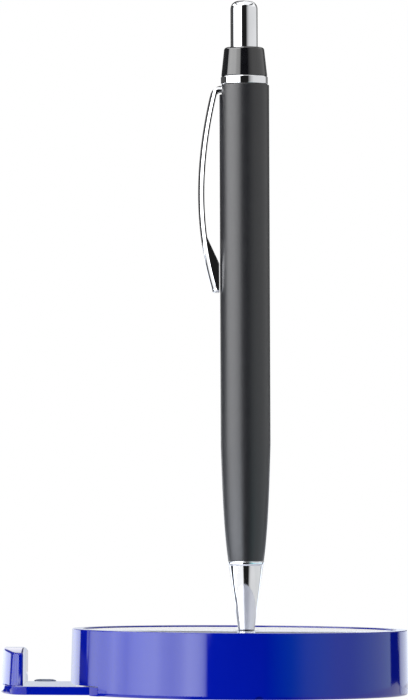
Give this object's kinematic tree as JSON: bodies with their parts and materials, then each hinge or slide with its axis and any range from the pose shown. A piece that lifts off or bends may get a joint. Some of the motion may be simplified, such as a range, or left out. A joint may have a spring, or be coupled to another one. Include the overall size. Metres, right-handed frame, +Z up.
{
  "type": "pen holder",
  "caption": "Round desk pen holder: a weighted gloss base with a magnetic socket for an upright click pen, and a slide-in ledge with a curved lip that props a telephone.",
  "frame": {"origin": "on the axis of the round base, in the plane of the grip pad's underside, which rests on the table", "axes": "+Z up, -X towards the telephone ledge, so the picture looks along +Y"},
  "size_m": [0.0868, 0.072, 0.1484],
  "materials": {
    "blue_plastic": "high gloss moulded plastic",
    "matte_black": "soft matt coating",
    "gloss_black": "polished",
    "chrome": "polished plating",
    "steel": "plain steel",
    "brass": "turned brass",
    "rubber": "matt",
    "pad_rubber": "matt, grey blue",
    "pale_inlay": "smooth laminated disc",
    "socket_black": "matt",
    "white_plastic": "natural moulded plastic",
    "clear_plastic": "milky tube"
  },
  "bodies": {
    "base": {"base_shell": "blue_plastic", "base_plate": "blue_plastic", "grip_pad": "rubber", "top_inlay": "pale_inlay", "ballast": "steel", "magnet": "steel", "pen_socket": "socket_black", "screw_1": "steel", "screw_2": "steel", "screw_3": "steel"},
    "ledge": {"phone_ledge": "blue_plastic", "ledge_pad": "pad_rubber"},
    "pen": {"barrel": "matte_black", "nose_cone": "chrome", "trim_ring": "chrome", "top_collar": "gloss_black", "cam_sleeve": "white_plastic", "return_spring": "steel"},
    "clip": {"clip": "chrome"},
    "button": {"push_button": "chrome", "plunger": "white_plastic"},
    "refill": {"refill_tube": "clear_plastic", "refill_tip": "brass", "refill_plug": "white_plastic", "rotary_cam": "white_plastic"}
  },
  "joints": [
    {"name": "ledge_slide", "type": "slide", "parent": "base", "child": "ledge", "axis": [1, 0, 0], "range_m": [0, 0.00945]},
    {"name": "pen_lift", "type": "slide", "parent": "base", "child": "pen", "axis": [-0.0091, 0, 1], "range_m": [0, 0.02]},
    {"name": "clip_flex", "type": "hinge", "parent": "pen", "child": "clip", "pos_m": [-0.00444, 0, 0.12925], "axis": [0, 1, 0], "range_deg": [0, 4.5], "stiffness_Nm_per_rad": 0.6, "springref_deg": -1.15},
    {"name": "button_press", "type": "slide", "parent": "pen", "child": "button", "axis": [0.0091, 0, -1], "range_m": [0, 0.0055], "stiffness_N_per_m": 350, "springref_m": -0.003},
    {"name": "refill_advance", "type": "slide", "parent": "pen", "child": "refill", "axis": [0.0091, 0, -1], "range_m": [0, 0.0055], "deforming": ["return_spring"]}
  ],
  "couplings": [
    {"joint": "refill_advance", "follows": "button_press", "ratio": 1}
  ]
}
